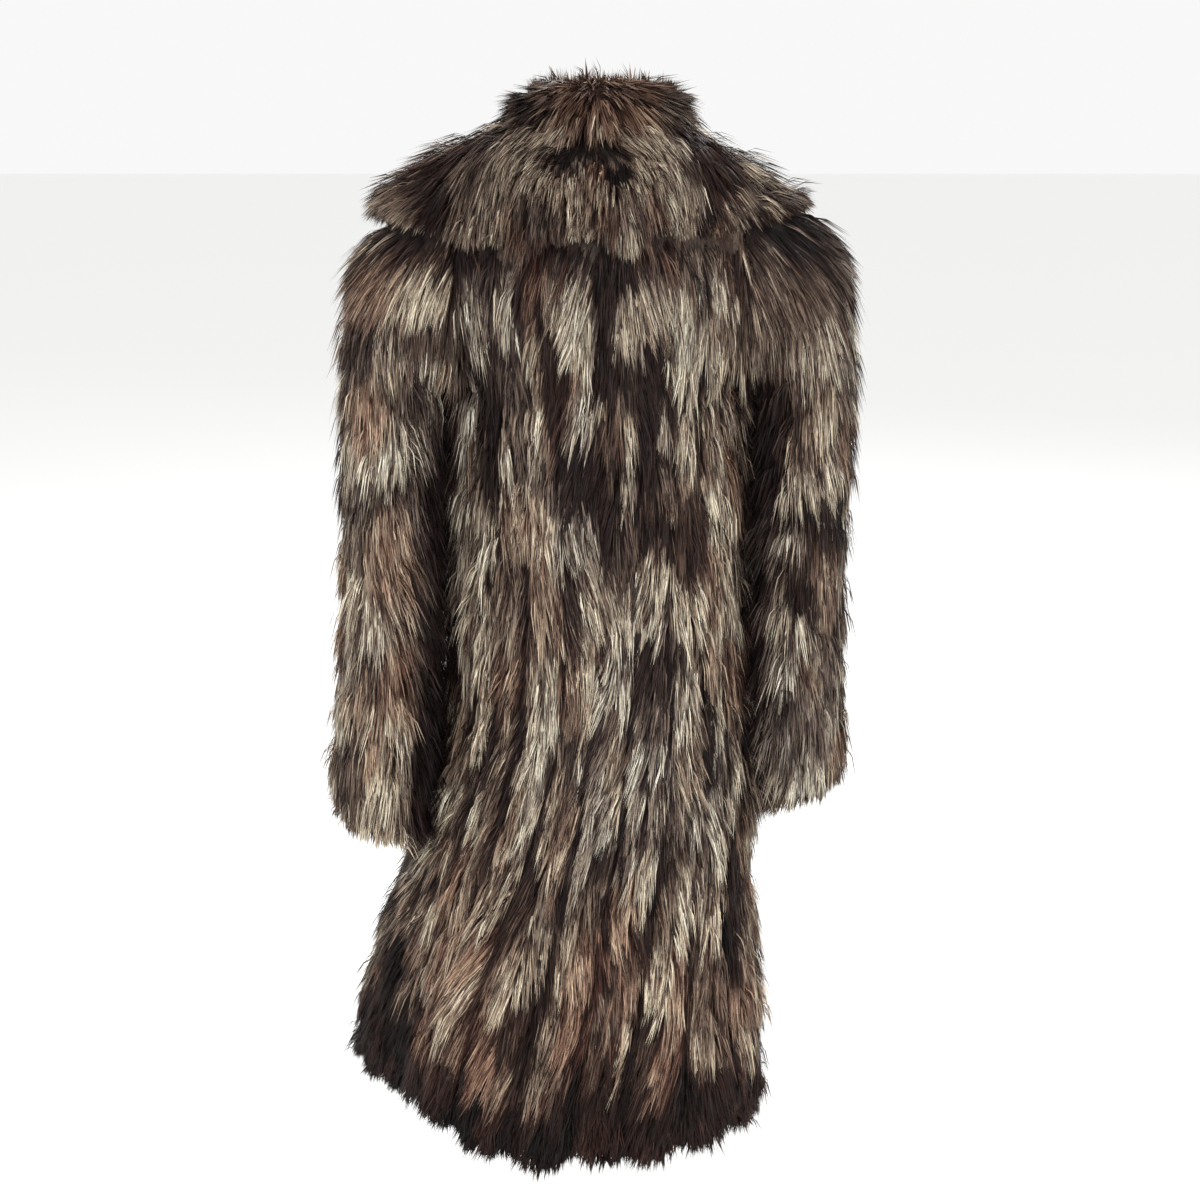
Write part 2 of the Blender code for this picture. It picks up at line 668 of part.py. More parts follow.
def collar_ring(tree, station, number):
    """Section of the collar: base on the neckline, underside, edge, face, roll and stand."""
    pole = np.array(POLE)
    share = abs(station)
    side = 1.0 if station >= 0 else -1.0
    mirror = np.array([side, 1.0, 1.0])
    inner_edge, outer_edge = (point * mirror for point in neck_point(share))
    ahead, behind = (neck_point(np.clip(share + d, 0, 1))[0] * mirror for d in (0.01, -0.01))
    opening = np.cross(ahead - behind, outer_edge - inner_edge)
    opening /= np.linalg.norm(opening)
    opening *= np.sign(opening @ np.array([-0.5 * side, 0.0, 1.0]))
    off = outer_edge - pole
    azimuth = np.degrees(np.arctan2(off[0] * side, off[1]))
    polar = np.degrees(np.arctan2(np.hypot(off[0], off[1]), off[2]))
    edge = along(COLLAR_EDGE, share)
    if side < 0:
        edge[2] -= RIGHT_SHORTER * smooth(share / 0.2) * smooth((0.6 - share) / 0.2)
    taper = smooth((1.02 - share) / 0.25)
    tuft = 1.0 if number % 2 else -1.0
    raised = sum(
        rise * np.exp(-(((edge[1] * side - where) / half_angle) ** 2))
        for where, half_angle, rise in COLLAR_FOLDS
    )
    out = off / np.linalg.norm(off)
    flat = np.array([out[0], out[1], 0.0])
    flat /= np.linalg.norm(flat)
    lift = smooth((0.50 - share) / 0.25)
    rise_way = out * (1 - lift) + np.array([0.0, 0.0, 1.0]) * lift
    rise_way /= np.linalg.norm(rise_way)
    height = ROLL_HEIGHT * (LAPEL_ROLL + (1 - LAPEL_ROLL) * lift) * taper
    height *= 1 - CENTRE_PEAK * smooth(share / 0.25)
    full = 0.25 + 0.75 * taper
    inward = opening * (1 - lift) - flat * lift
    ring = [
        inner_edge + opening * BASE_GAP + inward * BASE_IN * lift,
        outer_edge + opening * BASE_GAP + out * LAY,
    ]
    far = {}
    way = {}
    for step in FALL_STEPS:
        way[step] = direction(
            side * (azimuth + (edge[1] - azimuth) * step), polar + (edge[2] - polar) * step
        )
        far[step] = outermost(tree, way[step])
        ring.append(pole + way[step] * (far[step] + LAY))
    tip = EDGE_POINT[0] + EDGE_POINT[1] * tuft
    beyond = direction(side * (azimuth + (edge[1] - azimuth) * tip), polar + (edge[2] - polar) * tip)
    ring.append(pole + beyond * (far[1.0] + EDGE_WALL * 0.5 * full))
    for step in FALL_STEPS[:0:-1]:
        wall = EDGE_WALL + (FALL_WALL - EDGE_WALL) * smooth((1.0 - step) / 0.5)
        wall = (wall + raised * smooth(step / 0.3) + TUFT * tuft * step) * full
        ring.append(pole + way[step] * (far[step] + wall))
    for on_outer, part, out_by, in_by in ROLL:
        foot = outer_edge if on_outer else inner_edge
        ring.append(foot + rise_way * height * part + (flat * out_by + inward * in_by) * full)
    return np.array(ring)


BACK_COLUMNS = np.linspace(-90, 90, BACK_STRIPS * STRIP_COLUMNS + 1)
LEFT_COLUMNS = np.linspace(90, 180, FRONT_STRIPS * STRIP_COLUMNS + 1)
NECKLINE = {}
PIECES = [
    *panel("yoke_back", "back", BACK_COLUMNS, (0.16, 0.12, 0.09)),
    *panel("yoke_left", "front_left", LEFT_COLUMNS, (0.15, 0.11, 0.09)),
    *panel("yoke_right", "front_right", -LEFT_COLUMNS[::-1], (0.15, 0.11, 0.09)),
    sleeve("left", (0.14, 0.10, 0.08)),
    sleeve("right", (0.14, 0.10, 0.08)),
]
collar(PIECES, (0.12, 0.08, 0.07))
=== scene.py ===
"""The long patchwork fur coat, its pelts and its hair, hung in the air as it is worn."""

import bmesh
import bpy
import numpy as np
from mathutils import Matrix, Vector
from mathutils.bvhtree import BVHTree


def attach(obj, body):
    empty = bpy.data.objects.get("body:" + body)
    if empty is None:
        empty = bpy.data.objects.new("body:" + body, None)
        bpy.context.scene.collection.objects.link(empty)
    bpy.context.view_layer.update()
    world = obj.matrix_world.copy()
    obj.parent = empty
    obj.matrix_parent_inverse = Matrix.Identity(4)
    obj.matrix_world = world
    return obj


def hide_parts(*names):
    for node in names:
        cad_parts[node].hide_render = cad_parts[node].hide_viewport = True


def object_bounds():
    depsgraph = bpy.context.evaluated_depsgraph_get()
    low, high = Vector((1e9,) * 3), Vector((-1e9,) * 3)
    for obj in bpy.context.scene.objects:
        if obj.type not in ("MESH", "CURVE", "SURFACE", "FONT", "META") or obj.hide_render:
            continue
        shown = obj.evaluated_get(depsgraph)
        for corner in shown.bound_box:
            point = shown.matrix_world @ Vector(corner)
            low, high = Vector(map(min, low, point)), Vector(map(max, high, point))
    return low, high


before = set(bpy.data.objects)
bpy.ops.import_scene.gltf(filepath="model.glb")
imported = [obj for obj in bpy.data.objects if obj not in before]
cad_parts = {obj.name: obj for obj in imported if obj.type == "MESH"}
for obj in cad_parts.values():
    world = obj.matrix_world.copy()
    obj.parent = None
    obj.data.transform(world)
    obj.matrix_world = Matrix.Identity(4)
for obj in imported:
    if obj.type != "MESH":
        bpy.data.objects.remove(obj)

cad_box = [list(corner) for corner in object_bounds()]


# ---------------------------------------------------------------- the room
# A pale studio floor well below the hem, as far down as the wearer's feet would be.
# Soft lamps stand behind and before the coat, which hangs at the origin. The camera
# stands behind it, a little over the height of its collar.
FLOOR_Z = -1.46
FLOOR_SIDE = 40.0
floor_mesh = bpy.data.meshes.new("studio_floor")
corner = FLOOR_SIDE / 2
floor_mesh.from_pydata(
    [(-corner, -corner, 0), (corner, -corner, 0), (corner, corner, 0), (-corner, corner, 0)],
    [],
    [(0, 1, 2, 3)],
)
floor = bpy.data.objects.new("studio_floor", floor_mesh)
floor.location = (0, 0, FLOOR_Z)
bpy.context.scene.collection.objects.link(floor)
paper = bpy.data.materials.new("pale_paper")
paper.use_nodes = True
paper_shader = paper.node_tree.nodes["Principled BSDF"]
paper_shader.inputs["Base Color"].default_value = (0.93, 0.93, 0.92, 1)
paper_shader.inputs["Roughness"].default_value = 0.9
floor_mesh.materials.append(paper)

world = bpy.data.worlds.new("pale_room")
world.use_nodes = True
daylight = world.node_tree.nodes["Background"]
daylight.inputs["Color"].default_value = (1.0, 1.0, 1.0, 1)
daylight.inputs["Strength"].default_value = 0.94
bpy.context.scene.world = world
bpy.context.scene.view_settings.view_transform = "Standard"

LAMPS = (
    # name, place, aimed at, side in metres, watts
    ("lamp_behind", (1.1, 3.2, 2.4), (0, 0, -0.5), 1.6, 86.0),
    ("lamp_behind_low", (-1.8, 2.6, 0.2), (0, 0, -0.6), 1.4, 22.0),
    ("lamp_before", (-1.1, -3.2, 2.4), (0, 0, -0.5), 1.6, 86.0),
    ("lamp_before_low", (1.8, -2.6, 0.2), (0, 0, -0.6), 1.4, 22.0),
)
for name, place, aim, side, watts in LAMPS:
    lamp = bpy.data.lights.new(name, "AREA")
    lamp.size = side
    lamp.energy = watts
    stand = bpy.data.objects.new(name, lamp)
    stand.location = place
    stand.rotation_euler = (Vector(aim) - Vector(place)).to_track_quat("-Z", "Y").to_euler()
    bpy.context.scene.collection.objects.link(stand)

camera = bpy.data.cameras.new("camera")
camera.lens = 62.6
camera.sensor_width = 36.0
tripod = bpy.data.objects.new("camera", camera)
tripod.location = (0.0, 2.35, 0.16)
tripod.rotation_euler = (Vector((0, 0, -0.5)) - tripod.location).to_track_quat("-Z", "Y").to_euler()
bpy.context.scene.collection.objects.link(tripod)
bpy.context.scene.camera = tripod


# ---------------------------------------------------------------- the back
# Twelve upright strips of fox pelt, let out and sewn edge to edge, from the neckline to the
# hem. A yoke over the shoulders is sewn to the rest at the underarm, a seam that long hair
# hides. Each strip is made of short locks whose pale ends lie over the next.
BODY = np.array(
    (
        # height, middle across and fore, half width, depth behind and before, degrees of swing
        (-0.235, 0.000, 0.000, 0.1530, 0.130, 0.138, 0.0),
        (-0.320, 0.001, 0.000, 0.1610, 0.128, 0.142, 0.0),
        (-0.430, 0.001, 0.000, 0.1640, 0.122, 0.138, 0.0),
        (-0.520, 0.000, 0.000, 0.1660, 0.124, 0.138, 0.0),
        (-0.620, 0.000, 0.000, 0.1700, 0.136, 0.146, 2.0),
        (-0.720, 0.008, 0.000, 0.1860, 0.154, 0.160, 5.0),
        (-0.820, 0.024, -0.003, 0.2060, 0.172, 0.176, 8.0),
        (-0.920, 0.034, -0.008, 0.2290, 0.188, 0.192, 11.0),
        (-1.020, 0.042, -0.014, 0.2470, 0.203, 0.207, 13.0),
        (-1.130, 0.048, -0.020, 0.2600, 0.217, 0.222, 15.0),
    )
)
BODY_STRIP = 15.0  # degrees round the body
BODY_LOCK = 0.078  # length of a lock down the strip
SHOULDER_FOOT = -0.24  # above this the yokes turn over the shoulders
PELT_DEPTH = 0.009  # how far under the tips of the fur its dense part starts
PRESSED_DEPTH = 0.003  # the same under the collar, which presses the fur flat
HAIR_FALL = 0.022  # how far below its root a hair shows most


def smooth(value):
    """From 0 to 1 with soft ends, held there outside."""
    value = np.clip(value, 0.0, 1.0)
    return value * value * (3.0 - 2.0 * value)


def unit(vectors):
    """The same directions, one long."""
    return vectors / np.maximum(np.linalg.norm(vectors, axis=-1, keepdims=True), 1e-9)


def body_row(height):
    """The body table's other columns at any height."""
    keys = BODY[::-1, 0]
    return [np.interp(height, keys, BODY[::-1, k]) for k in range(1, 7)]


def body_azimuth(points):
    """Degrees round the body from the middle of the back towards the wearer's left."""
    centre_x, centre_y, half, back, front, swing = body_row(points[:, 2])
    turn = np.radians(swing)
    off_x, off_y = points[:, 0] - centre_x, points[:, 1] - centre_y
    across = (off_x * np.cos(turn) - off_y * np.sin(turn)) / half
    fore = off_x * np.sin(turn) + off_y * np.cos(turn)
    fore = fore / np.where(fore > 0, back, front)
    return np.degrees(np.arctan2(across, fore))


def body_place(azimuth, height):
    """A point of the plain body form, without its folds."""
    centre_x, centre_y, half, back, front, swing = body_row(height)
    turn = np.radians(azimuth)
    x = half * np.sin(turn)
    y = np.where(np.cos(turn) > 0, back, front) * np.cos(turn)
    turn = np.radians(swing)
    return np.stack(
        [
            centre_x + x * np.cos(turn) + y * np.sin(turn),
            centre_y - x * np.sin(turn) + y * np.cos(turn),
            height + 0 * azimuth,
        ],
        axis=1,
    )


def body_flow(points, azimuth):
    """The way the strips run: down the shoulders, then along the flare of the skirt."""
    low = points[:, 2]
    along = unit(body_place(azimuth, low - 0.02) - body_place(azimuth, low))
    plain_down = np.array([0.0, 0.0, -1.0])
    share = smooth((-low - 0.30) / 0.15)[:, None]
    return unit(along * share + plain_down * (1 - share))


def trunk(points):
    """Point in the wearer at the height of each point, from which a skirt faces outwards."""
    centre_x, centre_y = body_row(points[:, 2])[:2]
    return np.stack([centre_x, centre_y, points[:, 2]], axis=1)


def heart(points):
    """Point in the wearer's chest, from which a yoke faces outwards and over the shoulders."""
    middle = trunk(points)
    middle[:, 2] = np.minimum(middle[:, 2], SHOULDER_FOOT)
    return middle


def solid_of(node):
    """Points and triangles of one panel, its mesh points joined, and their normals and areas."""
    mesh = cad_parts[node].data
    mesh.calc_loop_triangles()
    raw = np.empty(len(mesh.vertices) * 3, np.float32)
    mesh.vertices.foreach_get("co", raw)
    corners = np.empty(len(mesh.loop_triangles) * 3, np.int32)
    mesh.loop_triangles.foreach_get("vertices", corners)
    points, index = np.unique(
        np.round(raw.reshape(-1, 3).astype(float), 6), axis=0, return_inverse=True
    )
    faces = index.reshape(-1)[corners].reshape(-1, 3)
    a, b, c = (points[faces[:, k]] for k in range(3))
    cross = np.cross(b - a, c - a)
    area = np.linalg.norm(cross, axis=1) / 2
    keep = area > 1e-9
    return points, faces[keep], unit(cross[keep]), area[keep]


def sides_of(points, faces, normals, middle):
    """True for the triangles on the fur side, and on the skin side, by a point in the wearer."""
    centres = points[faces].mean(axis=1)
    facing = (normals * unit(centres - middle(centres))).sum(axis=1)
    return facing > 0.3, facing < -0.3


def point_normals(points, faces, normals, area):
    """Each point's normal, from the triangles round it."""
    total = np.zeros_like(points)
    for k in range(3):
        np.add.at(total, faces[:, k], normals * area[:, None])
    return unit(total)


def scattered(rng, points, faces, normals, area, count):
    """Random places on the fur side, even by area, with their normals."""
    turned = point_normals(points, faces, normals, area)
    share = np.cumsum(area) / area.sum()
    which = np.searchsorted(share, (np.arange(count) + rng.random(count)) / count)
    which = np.minimum(which, len(faces) - 1)
    first, second = rng.random(count), rng.random(count)
    over = first + second > 1
    first[over], second[over] = 1 - first[over], 1 - second[over]
    weights = np.stack([1 - first - second, first, second], axis=1)[:, :, None]
    place = (points[faces[which]] * weights).sum(axis=1)
    return place, unit((turned[faces[which]] * weights).sum(axis=1))


def chance(first, second, seed):
    """A number from 0 to 1 that is always the same for the same two whole numbers."""
    value = np.sin(first * 12.9898 + second * 78.233 + seed * 37.719) * 43758.5453
    return value - np.floor(value)


def cloud(x, y, seed):
    """Soft patches from 0 to 1 over a plane, about one unit across."""
    left, low = np.floor(x), np.floor(y)
    across, up = smooth(x - left), smooth(y - low)
    below = chance(left, low, seed) * (1 - across) + chance(left + 1, low, seed) * across
    above = chance(left, low + 1, seed) * (1 - across) + chance(left + 1, low + 1, seed) * across
    return below * (1 - up) + above * up


def fur_colour(light, warm):
    """Linear colour of hair from dark to pale, and from cool silver to warm rust."""
    steps = (0.0, 0.18, 0.42, 0.68, 1.0)
    cool = ((12, 8, 9), (46, 35, 35), (114, 101, 94), (176, 167, 153), (226, 222, 207))
    brown = ((13, 8, 7), (52, 37, 32), (123, 104, 90), (184, 168, 145), (224, 214, 190))
    rust = ((17, 10, 8), (74, 47, 39), (142, 109, 91), (184, 154, 130), (212, 190, 162))
    light = np.clip(light, 0, 1)
    rows = []
    for table in (cool, brown, rust):
        table = (np.array(table) / 255.0) ** 2.2
        rows.append(np.stack([np.interp(light, steps, table[:, k]) for k in range(3)], axis=-1))
    warm = np.clip(warm, -1, 1)[..., None]
    return np.where(
        warm < 0, rows[1] * (1 + warm) - rows[0] * warm, rows[1] * (1 - warm) + rows[2] * warm
    )


def lock_tones(across, down, seed, length, patches=()):
    """Lightness and warmth of the pelt, and the place in its lock, by strips and metres down."""
    # each strip wanders a little, and holds two narrow columns of locks or one wide one
    wander = (cloud(across * 2.1, down * 15, seed) - 0.5) * 0.32
    strip = np.floor(across + wander)
    stretch = np.floor(down / 0.19 + 5 * chance(strip, 2, seed))
    number = np.floor((across + wander) * 2)
    number = np.where(chance(strip, stretch, seed + 9) < 0.4, strip * 2 + 0.5, number)
    # down each strip the locks differ in length, and few end level with their neighbours
    pitch = length * (0.65 + 0.75 * chance(number, 3, seed))
    step = down / pitch + 7.0 * chance(number, 1, seed)
    step = step + (cloud(across * 6.3, down * 9, seed + 1) - 0.5) * 0.5
    lock = np.floor(step)
    part = step - lock
    # a lock is dark at its root, its own dark root colour with painted shade where the end of the
    # lock above overhangs it, and by its mood dark, brown or cream at its end
    mood = chance(number, lock, seed + 2)
    broad = cloud(across * 0.5, down * 4.6, seed + 3) - 0.5
    mood = np.clip(mood + broad * 0.30, 0, 1)
    top = np.interp(mood, (0.0, 0.2, 0.5, 1.0), (0.05, 0.14, 0.26, 0.34))
    end = np.interp(
        mood, (0.0, 0.16, 0.24, 0.45, 0.58, 0.84, 0.89, 1.0),
        (0.12, 0.20, 0.40, 0.52, 0.82, 1.00, 0.56, 0.52),
    )
    light = top + (end - top) * smooth((part - 0.05) / 0.60)
    fine = cloud(across * 7.0, down * 24, seed + 7)
    light = light * (0.62 + 0.72 * fine) * (0.90 + 0.35 * broad)
    warm = (cloud(across * 0.35, down * 3.1, seed + 4) - 0.55) * 1.1
    warm = warm + (chance(number, lock, seed + 5) - 0.5) * 0.5 + 0.7 * (mood > 0.88)
    # locks of a known tone, each at its own place, also darker towards their roots, partly own
    # colour and partly painted shade
    for at, low, half_wide, half_tall, tone, heat in patches:
        off = down + HAIR_FALL - low
        reach = ((across - at) / half_wide) ** 2 + (off / half_tall) ** 2
        held = smooth(1.4 - reach) * 0.9
        light = light * (1 - held) + tone * held * (0.70 + 0.25 * part) * (0.75 + 0.6 * fine)
        warm = warm * (1 - held) + heat * held
    return light, warm, part, chance(number, lock, seed + 6) - 0.5


HAIRS = 5  # in one wisp
FUR_MARGIN = np.array([0.026, 0.020, 0.042])  # how far the longest hairs pass the solids' box
FUR_LOW = np.array(cad_box[0]) - FUR_MARGIN
FUR_HIGH = np.array(cad_box[1]) + FUR_MARGIN
WISP_ROOT = 0.0042  # how far the hairs of a wisp are rooted from its middle
WISP_TIP = 0.30  # the share of that which is left at their tips
HAIR_WIDE = 0.0013
HAIR_ROOT = 0.008  # how far in the roots are
HAIR_COLUMN, HAIR_ROW = 512, 192  # places for single hairs across and up a square map


def painted(name, mesh, colours):
    """A new piece of this mesh, with a colour at each of its points."""
    paint = mesh.color_attributes.new("hair_colour", "FLOAT_COLOR", "POINT")
    opaque = np.ones((len(colours), 1))
    paint.data.foreach_set("color", np.concatenate([colours, opaque], axis=1).ravel())
    made = bpy.data.objects.new(name, mesh)
    bpy.context.scene.collection.objects.link(made)
    return made


def laid_flat(way, normal):
    """The same direction, turned to run along the pelt."""
    return unit(way - normal * (way * normal).sum(axis=1)[:, None])


def guard_hairs(rng, count, share, least, more):
    """Extra lift of the few wisps that stand over the rest."""
    standing = rng.random(count) < share
    return standing * (least + more * rng.random(count))


def make_hair(name, rng, place, normal, way, length, lift, light, warm, depth=HAIR_ROOT):
    """Wisps of fine flat hairs: each runs from the pelt to its tip, bent and widest once."""
    wisps = len(place)
    shape = (wisps, HAIRS)
    side = unit(np.cross(way, normal))
    turn = rng.random(shape) * 2 * np.pi
    spread = WISP_ROOT * np.sqrt(rng.random(shape))
    sideways = (spread * np.cos(turn))[..., None] * side[:, None]
    forward = (spread * np.sin(turn))[..., None] * way[:, None]
    long = (length[:, None] * (1 + 0.34 * (rng.random(shape) - 0.5)))[..., None]
    high = (lift[:, None] * (1 + 0.8 * (rng.random(shape) - 0.5)))[..., None]
    root = place[:, None] + sideways + forward - normal[:, None] * depth
    run = way[:, None] * long
    rise = normal[:, None] * high
    stray = (rng.random(shape)[..., None] - 0.5) * side[:, None] * long * 0.10
    middle = root + run * 0.46 + rise * 0.72 + normal[:, None] * depth * 0.80 - sideways * 0.35
    tip = root + run + rise + normal[:, None] * depth - sideways * (1 - WISP_TIP) + stray
    # no hair may pass the box round the coat
    reach = tip - root
    room = np.where(reach > 0, FUR_HIGH - root, root - FUR_LOW) / np.maximum(np.abs(reach), 1e-6)
    trim = np.clip(room.min(axis=2), 0.1, 1.0)[..., None]
    tip = root + reach * trim
    middle = root + (middle - root) * trim
    roll = (rng.random(shape) - 0.5)[..., None] * 1.7
    edge = side[:, None] * np.cos(roll) + normal[:, None] * np.sin(roll)
    wide = (HAIR_WIDE * (0.6 + 0.8 * rng.random(shape)))[..., None]
    corners = np.stack(
        [root, middle + edge * wide * 0.5, tip, middle - edge * wide * 0.5], axis=2
    ).reshape(-1, 3)
    # a third of the hairs are dark; each is darkest at its foot
    dim = np.where(rng.random(shape) < 0.32, 0.34, 1.0) * (0.80 + 0.44 * rng.random(shape))
    tone = light[:, None] * dim * (0.70 + 0.60 * rng.random((wisps, 1)))
    heat = warm[:, None] + 0.5 * (rng.random((wisps, 1)) - 0.5) + 0.3 * (rng.random(shape) - 0.5)
    foot = fur_colour(tone * 0.20, heat)
    body = fur_colour(tone * (0.80 + 0.40 * rng.random(shape)), heat)
    end = fur_colour(tone * (0.90 + 0.50 * rng.random(shape)), heat * 0.8)
    colours = np.stack([foot, body, end, body], axis=2).reshape(-1, 3)

    count = wisps * HAIRS
    mesh = bpy.data.meshes.new(name)
    mesh.vertices.add(count * 4)
    mesh.vertices.foreach_set("co", corners.ravel())
    mesh.loops.add(count * 6)
    loops = (np.arange(count) * 4)[:, None] + np.array([[0, 1, 3, 3, 1, 2]])
    mesh.loops.foreach_set("vertex_index", loops.ravel().astype(np.int32))
    mesh.polygons.add(count * 2)
    mesh.polygons.foreach_set("loop_start", (np.arange(count * 2) * 3).astype(np.int32))
    mesh.update(calc_edges=True)
    mesh.polygons.foreach_set("use_smooth", np.ones(count * 2, bool))
    made = painted(name, mesh, colours)
    own = mesh.uv_layers.new(name="OFBake")
    at = np.arange(count)
    left = (at % HAIR_COLUMN)[:, None] / HAIR_COLUMN
    low = (at // HAIR_COLUMN)[:, None] / HAIR_ROW
    across = np.array([[0.5, 0.98, 0.02, 0.02, 0.98, 0.5]]) / HAIR_COLUMN
    up = np.array([[0.02, 0.5, 0.5, 0.5, 0.5, 0.98]]) / HAIR_ROW
    own.data.foreach_set("uv", np.stack([left + across, low + up], axis=2).ravel())
    mesh.materials.append(FUR)
    return made


def streaked_finish(name, scale, detail, darkest, palest):
    """The hair's own colours, broken by streaks that run down the coat, and its nodes."""
    finish = bpy.data.materials.new(name)
    finish.use_nodes = True
    nodes, links = finish.node_tree.nodes, finish.node_tree.links
    shader = nodes["Principled BSDF"]
    paint = nodes.new("ShaderNodeVertexColor")
    paint.layer_name = "hair_colour"
    place = nodes.new("ShaderNodeTexCoord")
    stretch = nodes.new("ShaderNodeMapping")
    stretch.inputs["Scale"].default_value = scale
    streak = nodes.new("ShaderNodeTexNoise")
    streak.inputs["Scale"].default_value = 1.0
    streak.inputs["Detail"].default_value = detail
    shade = nodes.new("ShaderNodeMapRange")
    shade.inputs["From Min"].default_value = 0.3
    shade.inputs["From Max"].default_value = 0.7
    shade.inputs["To Min"].default_value = darkest
    shade.inputs["To Max"].default_value = palest
    mix = nodes.new("ShaderNodeMix")
    mix.data_type = "RGBA"
    mix.blend_type = "MULTIPLY"
    mix.inputs["Factor"].default_value = 1.0
    links.new(place.outputs["Object"], stretch.inputs["Vector"])
    links.new(stretch.outputs["Vector"], streak.inputs["Vector"])
    links.new(streak.outputs["Fac"], shade.inputs["Value"])
    links.new(paint.outputs["Color"], mix.inputs[6])
    links.new(shade.outputs["Result"], mix.inputs[7])
    links.new(mix.outputs[2], shader.inputs["Base Color"])
    return finish, nodes, links, shader, streak


def fur_finish():
    """Combed fur: fine streaks along each hair, softly shining."""
    finish, nodes, links, shader, streak = streaked_finish(
        "combed_fur", (1100, 1100, 75), 2.0, 0.60, 1.35
    )
    shader.inputs["Specular IOR Level"].default_value = 0.18
    shader.inputs["Sheen Weight"].default_value = 0.03
    shader.inputs["Sheen Roughness"].default_value = 0.4
    gloss = nodes.new("ShaderNodeMapRange")
    gloss.inputs["To Min"].default_value = 0.42
    gloss.inputs["To Max"].default_value = 0.62
    links.new(streak.outputs["Fac"], gloss.inputs["Value"])
    links.new(gloss.outputs["Result"], shader.inputs["Roughness"])
    return finish


def underfur_finish():
    """The dense dark part of the fur: coarse matted streaks, quite dull."""
    finish, nodes, links, shader, streak = streaked_finish(
        "underfur", (520, 520, 28), 4.0, 0.45, 1.5
    )
    shader.inputs["Roughness"].default_value = 0.85
    bump = nodes.new("ShaderNodeBump")
    bump.inputs["Strength"].default_value = 0.8
    bump.inputs["Distance"].default_value = 0.004
    links.new(streak.outputs["Fac"], bump.inputs["Height"])
    links.new(bump.outputs["Normal"], shader.inputs["Normal"])
    return finish


def suede_finish():
    """The skin side of the pelts, dyed brown: fine nap with paler rubbed clouds."""
    finish = bpy.data.materials.new("suede")
    finish.use_nodes = True
    nodes, links = finish.node_tree.nodes, finish.node_tree.links
    shader = nodes["Principled BSDF"]
    shader.inputs["Roughness"].default_value = 0.92
    shader.inputs["Sheen Weight"].default_value = 0.25
    place = nodes.new("ShaderNodeTexCoord")
    cloudy = nodes.new("ShaderNodeTexNoise")
    cloudy.inputs["Scale"].default_value = 9.0
    cloudy.inputs["Detail"].default_value = 5.0
    nap = nodes.new("ShaderNodeTexNoise")
    nap.inputs["Scale"].default_value = 900.0
    nap.inputs["Detail"].default_value = 2.0
    tint = nodes.new("ShaderNodeValToRGB")
    tint.color_ramp.elements[0].position = 0.32
    tint.color_ramp.elements[0].color = (0.040, 0.024, 0.017, 1)
    tint.color_ramp.elements[1].position = 0.72
    tint.color_ramp.elements[1].color = (0.095, 0.060, 0.042, 1)
    bump = nodes.new("ShaderNodeBump")
    bump.inputs["Strength"].default_value = 0.5
    bump.inputs["Distance"].default_value = 0.0006
    links.new(place.outputs["Object"], cloudy.inputs["Vector"])
    links.new(place.outputs["Object"], nap.inputs["Vector"])
    links.new(cloudy.outputs["Fac"], tint.inputs["Fac"])
    links.new(tint.outputs["Color"], shader.inputs["Base Color"])
    links.new(nap.outputs["Fac"], bump.inputs["Height"])
    links.new(bump.outputs["Normal"], shader.inputs["Normal"])
    return finish


UNDERFUR = underfur_finish()
SUEDE = suede_finish()
FUR = fur_finish()
SEAM_SEWN = 0.0002  # how far each edge reaches over the gap that the solids keep
PELT_SHADE = 0.42  # how light the underfur is beside the hair over it


def make_pelt(name, node, skin, depth_at, tones):
    """The pelt under the hair: the panel's wall, fur side drawn in and sewn edges let out."""
    points, faces, normals, area, outer, inside = skin
    fur_side = point_normals(points, faces[outer], normals[outer], area[outer])
    on_fur = np.zeros(len(points), bool)
    on_fur[faces[outer].ravel()] = True
    seam = ~outer & ~inside
    edge_side = point_normals(points, faces[seam], normals[seam], area[seam])
    moved = points - fur_side * (depth_at(points) * on_fur)[:, None] + edge_side * SEAM_SEWN
    body = bmesh.new()
    corners = [body.verts.new(point) for point in moved]
    for face, skin_side in zip(faces, inside):
        made = body.faces.new([corners[k] for k in face])
        made.material_index = 1 if skin_side else 0
        made.smooth = True
    bmesh.ops.join_triangles(
        body, faces=body.faces[:], cmp_materials=True,
        angle_face_threshold=0.9, angle_shape_threshold=1.2,
    )
    mesh = bpy.data.meshes.new(name)
    body.to_mesh(mesh)
    body.free()
    mesh.materials.append(UNDERFUR)
    mesh.materials.append(SUEDE)
    at = np.empty(len(mesh.vertices) * 3, np.float32)
    mesh.vertices.foreach_get("co", at)
    light, warm = tones(at.reshape(-1, 3).astype(float))[:2]
    made = painted(name, mesh, fur_colour(light * PELT_SHADE, warm))
    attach(made, "root")
    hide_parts(node)
    return made


HEM_ZONE = -0.95  # the hem is all below this
HEM_STEP = 4.0  # degrees round the body
NO_HEM = -2.0
FRINGE_HIGH = 0.035  # how far up from the hem the fringe is rooted
FRINGE_SHARE = 0.10  # of all wisps, added along the hem
HEM_BAND = 0.064  # least height of the dark band along the hem
BAND_WANDER = 0.055  # how much higher it goes in places
ARMPIT = 0.17  # metres down, where the sleeves leave the body
FLANK_FOOT = 0.70  # metres down, where the hanging sleeves stop shading the sides
FLANK_AT, FLANK_HALF = 92, 26  # degrees round the body, where the sleeves hang against it
UNDER_COLLAR = 0.07  # fur with the collar this close over it has no long hair


